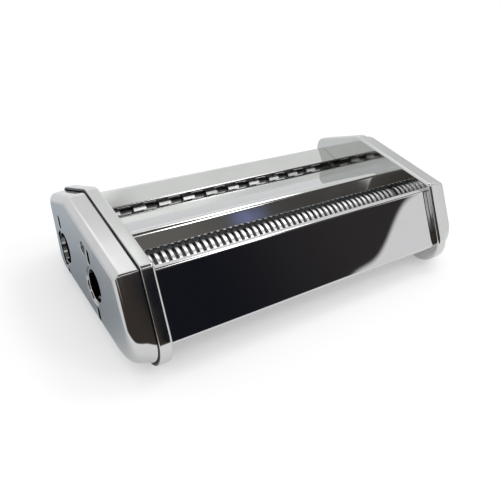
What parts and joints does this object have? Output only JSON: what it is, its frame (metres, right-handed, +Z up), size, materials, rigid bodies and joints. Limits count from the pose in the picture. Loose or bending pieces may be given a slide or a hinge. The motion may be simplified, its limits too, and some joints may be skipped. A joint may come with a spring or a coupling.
{
  "type": "pasta cutter head",
  "caption": "Pasta cutter head in polished steel for a hand-cranked machine, with a narrow and a wide cutter of interleaving discs, stripping combs, meshing gears and crank sockets.",
  "frame": {"origin": "centre of the base, on the surface that the two end plates stand on", "axes": "+X along the rollers to the geared end, away from the cranks, +Y to the back, +Z up"},
  "size_m": [0.174, 0.0979, 0.0454],
  "materials": {
    "polished_sheet": "mirror polished",
    "cap_chrome": "bright, slightly soft",
    "front_mirror": "mirror polished",
    "roller_steel": "fine turned",
    "gear_steel": "machined",
    "dark_steel": "dull",
    "rod_steel": "zinc plated",
    "bush_plastic": "moulded",
    "comb_steel": "brushed"
  },
  "bodies": {
    "root": {"left_end_plate": "polished_sheet", "right_end_plate": "polished_sheet", "left_end_cap": "cap_chrome", "right_end_cap": "cap_chrome", "left_cap_screw": "dark_steel", "right_cap_screw": "dark_steel", "front_panel": "front_mirror", "centre_cover": "polished_sheet", "rear_cover": "polished_sheet", "fine_drive_left_bush": "bush_plastic", "fine_drive_right_bush": "bush_plastic", "fine_follower_left_bush": "bush_plastic", "fine_follower_right_bush": "bush_plastic", "wide_drive_left_bush": "bush_plastic", "wide_drive_right_bush": "bush_plastic", "wide_follower_left_bush": "bush_plastic", "wide_follower_right_bush": "bush_plastic", "fine_rear_comb": "comb_steel", "fine_front_comb": "comb_steel", "wide_front_comb": "comb_steel", "wide_rear_comb": "comb_steel", "front_tie_rod": "rod_steel", "upper_tie_rod": "rod_steel", "lower_tie_rod": "rod_steel", "tie_rod_nuts": "rod_steel", "left_slide_channel": "rod_steel", "right_slide_channel": "rod_steel"},
    "fine_drive_shaft": {"fine_drive_roller": "roller_steel", "fine_crank_socket": "dark_steel", "fine_drive_gear": "gear_steel", "fine_drive_clip": "dark_steel"},
    "fine_follower_shaft": {"fine_follower_roller": "roller_steel", "fine_follower_gear": "gear_steel", "fine_follower_clips": "dark_steel"},
    "wide_drive_shaft": {"wide_drive_roller": "roller_steel", "wide_crank_socket": "dark_steel", "wide_drive_gear": "gear_steel", "wide_drive_clip": "dark_steel"},
    "wide_follower_shaft": {"wide_follower_roller": "roller_steel", "wide_follower_gear": "gear_steel", "wide_follower_clips": "dark_steel"}
  },
  "joints": [
    {"name": "fine_drive_turn", "type": "hinge", "parent": "root", "child": "fine_drive_shaft", "pos_m": [0, -0.01158, 0.0205], "axis": [1, 0, 0], "continuous": true},
    {"name": "fine_follower_turn", "type": "hinge", "parent": "root", "child": "fine_follower_shaft", "pos_m": [0, -0.02578, 0.0205], "axis": [1, 0, 0], "continuous": true},
    {"name": "wide_drive_turn", "type": "hinge", "parent": "root", "child": "wide_drive_shaft", "pos_m": [0, 0.02282, 0.0173], "axis": [1, 0, 0], "continuous": true},
    {"name": "wide_follower_turn", "type": "hinge", "parent": "root", "child": "wide_follower_shaft", "pos_m": [0, 0.03702, 0.0173], "axis": [1, 0, 0], "continuous": true}
  ],
  "couplings": [
    {"joint": "fine_follower_turn", "follows": "fine_drive_turn", "ratio": -1},
    {"joint": "wide_follower_turn", "follows": "wide_drive_turn", "ratio": -1}
  ]
}
